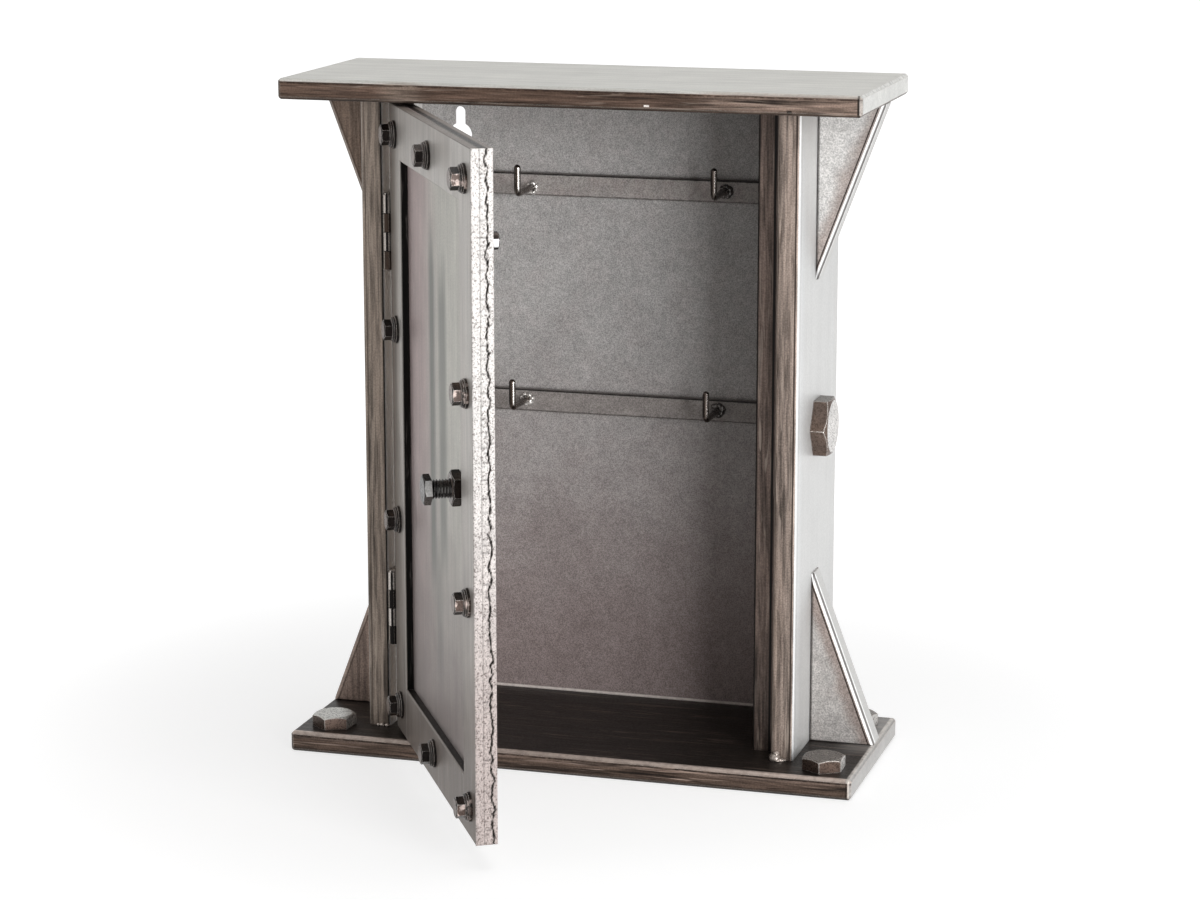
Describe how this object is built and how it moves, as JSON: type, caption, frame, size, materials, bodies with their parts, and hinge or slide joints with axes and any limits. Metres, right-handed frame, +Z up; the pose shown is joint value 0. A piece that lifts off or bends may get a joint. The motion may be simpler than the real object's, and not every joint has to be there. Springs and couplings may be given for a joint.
{
  "type": "wall key cabinet",
  "caption": "Small steel key cabinet with flange plates, gussets, key hooks inside and a bolted door on butt hinges.",
  "frame": {"origin": "centre of the base plate's underside, on the surface it stands on", "axes": "+X to the right seen from the front, +Y to the back and the wall, +Z up"},
  "size_m": [0.255, 0.2251, 0.3],
  "materials": {
    "plate_steel": "brushed, brown patina, worn edges",
    "body_steel": "brushed, brown patina",
    "interior_steel": "mottled, fine-grained",
    "hook_steel": "ground rod",
    "weld": "ground weld metal",
    "bolt_steel": "forged, worn corners",
    "door_steel": "brushed upright, satin",
    "dark_screw": "blackened",
    "magnet": "nickel plated",
    "hinge_steel": "plain steel"
  },
  "bodies": {
    "cabinet": {"top_plate": "plate_steel", "base_plate": "plate_steel", "left_side_wall": "body_steel", "right_side_wall": "body_steel", "back_panel": "interior_steel", "upper_hook_strip": "interior_steel", "lower_hook_strip": "interior_steel", "upper_left_hook": "hook_steel", "upper_right_hook": "hook_steel", "lower_left_hook": "hook_steel", "lower_right_hook": "hook_steel", "hook_welds": "weld", "top_left_gusset": "plate_steel", "top_right_gusset": "plate_steel", "base_left_gusset": "plate_steel", "base_right_gusset": "plate_steel", "base_bolts": "bolt_steel", "left_side_bolt": "bolt_steel", "right_side_bolt": "bolt_steel", "left_side_nut": "bolt_steel", "right_side_nut": "bolt_steel", "post_welds": "weld", "upper_hinge_post_leaf": "hinge_steel", "lower_hinge_post_leaf": "hinge_steel", "upper_hinge_pin": "hinge_steel", "lower_hinge_pin": "hinge_steel"},
    "door": {"door_frame": "door_steel", "door_panel": "door_steel", "door_back": "door_steel", "door_screws": "dark_screw", "door_washers": "dark_screw", "knob_bolt": "bolt_steel", "knob_nut": "bolt_steel", "door_magnet": "magnet", "upper_hinge_door_leaf": "hinge_steel", "lower_hinge_door_leaf": "hinge_steel"}
  },
  "joints": [
    {"name": "door_hinge", "type": "hinge", "parent": "cabinet", "child": "door", "pos_m": [-0.0851, -0.0293, 0.15], "axis": [0, 0, 1], "range_deg": [-88, 59.5]}
  ]
}
